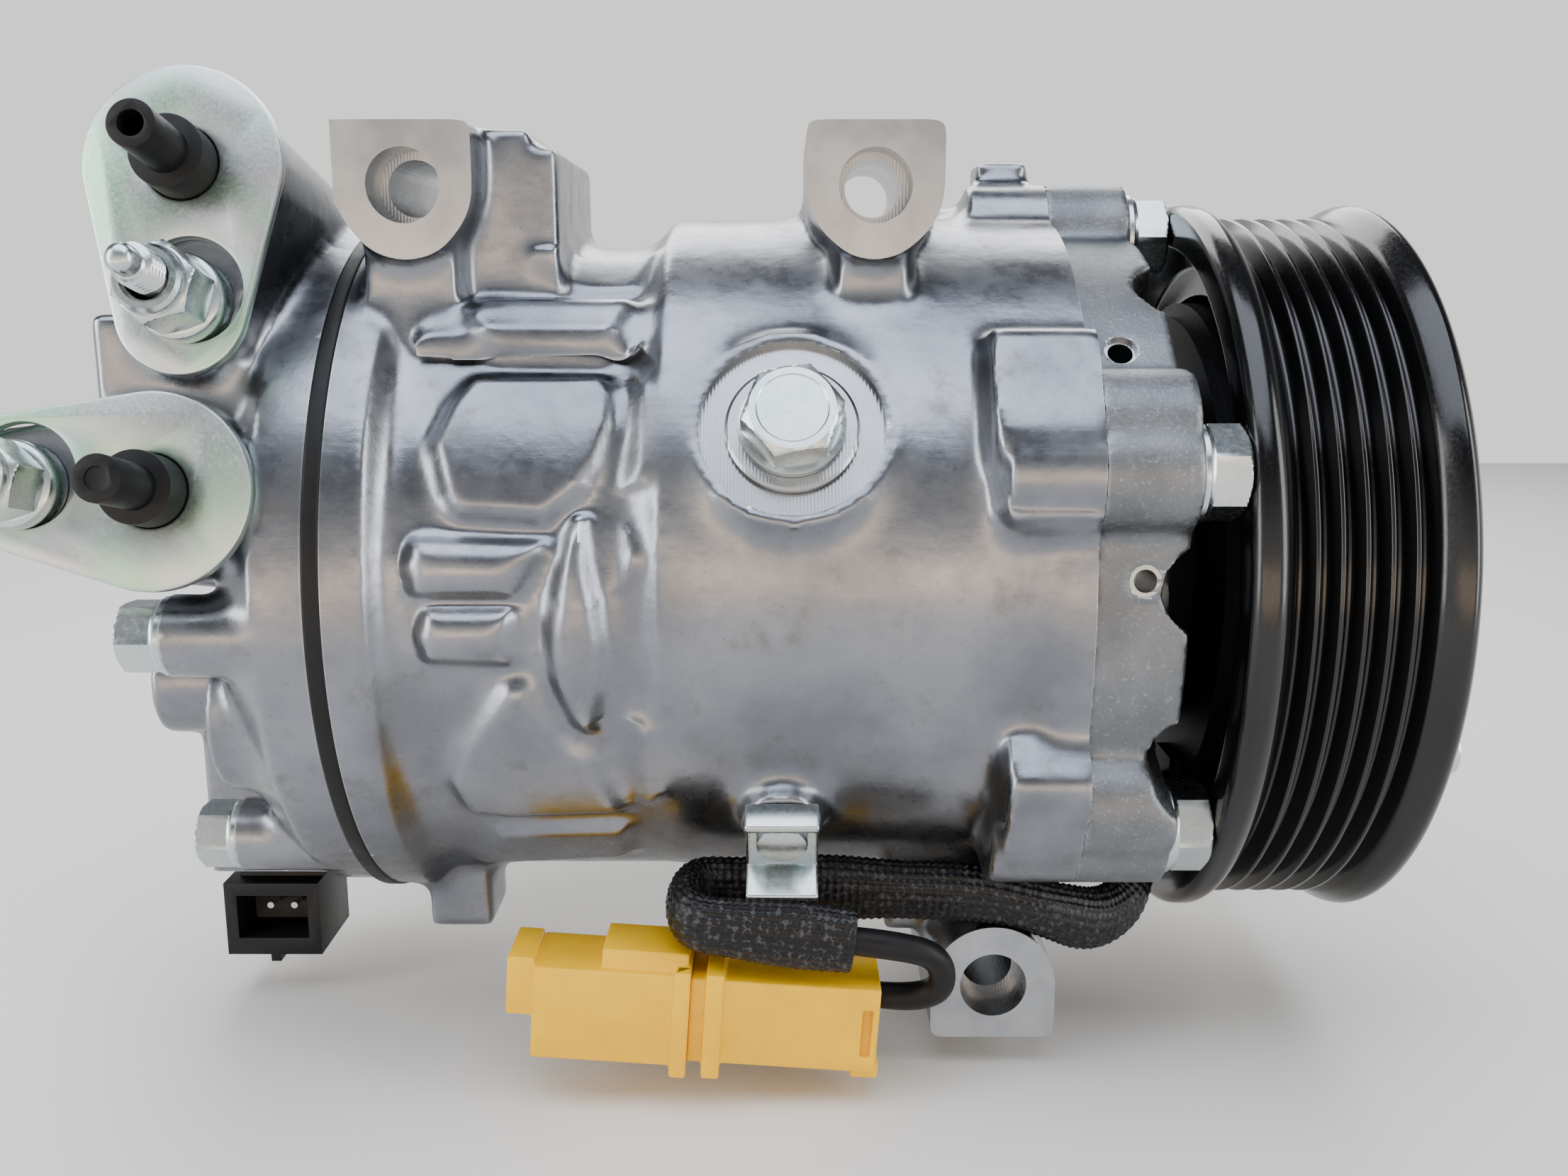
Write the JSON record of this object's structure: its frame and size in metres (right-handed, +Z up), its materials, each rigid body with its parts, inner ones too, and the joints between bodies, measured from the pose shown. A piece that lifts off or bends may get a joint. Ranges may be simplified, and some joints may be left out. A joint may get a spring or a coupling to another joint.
{
  "type": "automotive air-conditioning compressor",
  "caption": "Belt-driven refrigerant compressor with a magnetic clutch pulley, swash-plate pistons, three mounting ears and capped line ports.",
  "frame": {"origin": "on the shaft axis in the middle of the belt's width", "axes": "+X along the shaft out of the pulley, +Z up with two mounting ears on top, -Y towards the side where the mounting bolts go in"},
  "size_m": [0.2277, 0.1388, 0.1549],
  "materials": {
    "die_cast_aluminium": "as-cast satin grey, fine grain",
    "sand_cast_aluminium": "as-cast, coarse grain",
    "zinc_plated_steel": "bright zinc plating",
    "port_plate_steel": "satin zinc with a pale tint",
    "machined_steel": "machined, oiled",
    "bearing_steel": "ground and polished",
    "pulley_black": "gloss black e-coat",
    "armature_steel": "blanked steel, phosphated",
    "spring_steel": "blued spring steel",
    "black_rubber": "moulded, matt",
    "coil_resin": "potted coil",
    "valve_brass": "turned",
    "connector_black": "moulded",
    "contact_metal": "tinned",
    "plug_amber": "moulded, bright amber",
    "woven_sleeve": "woven, black",
    "lead_black": "smooth insulation"
  },
  "bodies": {
    "housing": {"cylinder_body": "die_cast_aluminium", "oil_plug": "zinc_plated_steel", "oil_plug_washer": "machined_steel", "front_housing": "sand_cast_aluminium", "front_o_ring": "black_rubber", "front_flange_bolts": "zinc_plated_steel", "rear_head_bolts": "zinc_plated_steel", "rear_head": "die_cast_aluminium", "suction_reed_plate": "spring_steel", "valve_plate": "machined_steel", "discharge_reed_plate": "spring_steel", "discharge_reed_retainer": "machined_steel", "joint_seal": "black_rubber", "suction_port_plate": "port_plate_steel", "suction_port_plug": "black_rubber", "discharge_port_plate": "port_plate_steel", "discharge_port_plug": "black_rubber", "port_studs": "zinc_plated_steel", "port_nuts": "zinc_plated_steel", "control_valve": "valve_brass", "control_valve_o_rings": "black_rubber", "control_valve_connector": "connector_black", "control_valve_pins": "contact_metal", "front_radial_bearing": "bearing_steel", "rear_radial_bearing": "bearing_steel", "front_thrust_bearing": "bearing_steel", "rear_thrust_bearing": "bearing_steel", "shaft_seal": "black_rubber", "shaft_seal_ring": "spring_steel", "pistons": "die_cast_aluminium", "piston_shoes": "bearing_steel", "piston_rings": "machined_steel", "pulley_bearing_inner": "bearing_steel", "bearing_circlip": "spring_steel", "field_coil": "coil_resin", "coil_circlip": "spring_steel", "coil_lead_sleeve": "woven_sleeve", "coil_lead": "lead_black", "harness_clip": "zinc_plated_steel", "harness_clip_screw": "zinc_plated_steel", "harness_plug_fixed_half": "plug_amber", "harness_plug_blades": "contact_metal", "harness_plug_cable_half": "plug_amber"},
    "pulley": {"pulley": "pulley_black", "pulley_bearing_outer": "bearing_steel"},
    "bearing_train": {"pulley_bearing_balls": "bearing_steel", "pulley_bearing_cage": "machined_steel"},
    "shaft": {"drive_shaft": "machined_steel", "lug_plate": "machined_steel", "lug_hinge_pin": "machined_steel", "swash_plate": "machined_steel", "swash_sleeve": "machined_steel", "return_spring": "spring_steel", "shaft_stop_ring": "spring_steel", "clutch_hub": "machined_steel", "shaft_nut": "zinc_plated_steel"},
    "armature": {"armature_plate": "armature_steel", "clutch_leaf_spring": "spring_steel", "clutch_rivets": "zinc_plated_steel"}
  },
  "joints": [
    {"name": "pulley_spin", "type": "hinge", "parent": "housing", "child": "pulley", "pos_m": [0, 0, 0], "axis": [1, 0, 0], "continuous": true},
    {"name": "bearing_spin", "type": "hinge", "parent": "housing", "child": "bearing_train", "pos_m": [0, 0, 0], "axis": [1, 0, 0], "continuous": true},
    {"name": "shaft_spin", "type": "hinge", "parent": "housing", "child": "shaft", "pos_m": [0, 0, 0], "axis": [1, 0, 0], "continuous": true},
    {"name": "armature_slide", "type": "slide", "parent": "shaft", "child": "armature", "axis": [1, 0, 0], "range_m": [-0.0005, 0], "stiffness_N_per_m": 20000}
  ],
  "couplings": [
    {"joint": "bearing_spin", "follows": "pulley_spin", "ratio": 0.5667}
  ]
}
